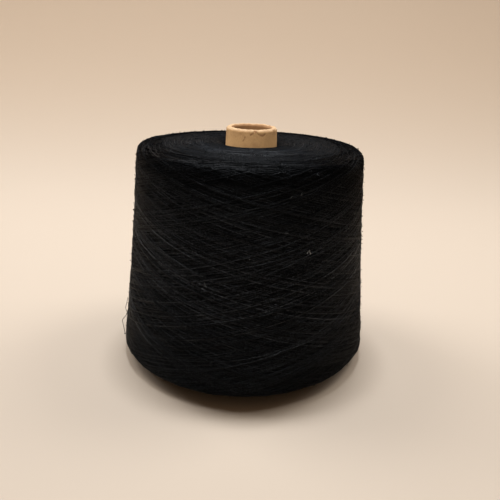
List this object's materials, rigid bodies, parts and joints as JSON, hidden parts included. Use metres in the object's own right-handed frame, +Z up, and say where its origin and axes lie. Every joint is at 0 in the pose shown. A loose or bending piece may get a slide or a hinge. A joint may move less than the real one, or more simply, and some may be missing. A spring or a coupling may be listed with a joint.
{
  "type": "cone of yarn",
  "caption": "Tapered cross-wound package of fine black yarn on a hollow kraft paper cone, standing on the cone's base, with one slack strand at its side.",
  "frame": {"origin": "on the axis, on the surface that the paper cone's base stands on", "axes": "+Z up the axis, from base to nose; the picture looks along +Y"},
  "size_m": [0.1844, 0.1844, 0.17],
  "materials": {
    "black_yarn": "fine matt wool-like yarn, cross-wound, faintly hairy",
    "kraft_paper": "raw kraft paperboard, matt, scuffed at the lip",
    "slack_yarn": "one strand of the same yarn, matt"
  },
  "bodies": {
    "root": {"yarn_winding": "black_yarn", "paper_cone": "kraft_paper", "slack_strand": "slack_yarn"}
  },
  "joints": []
}
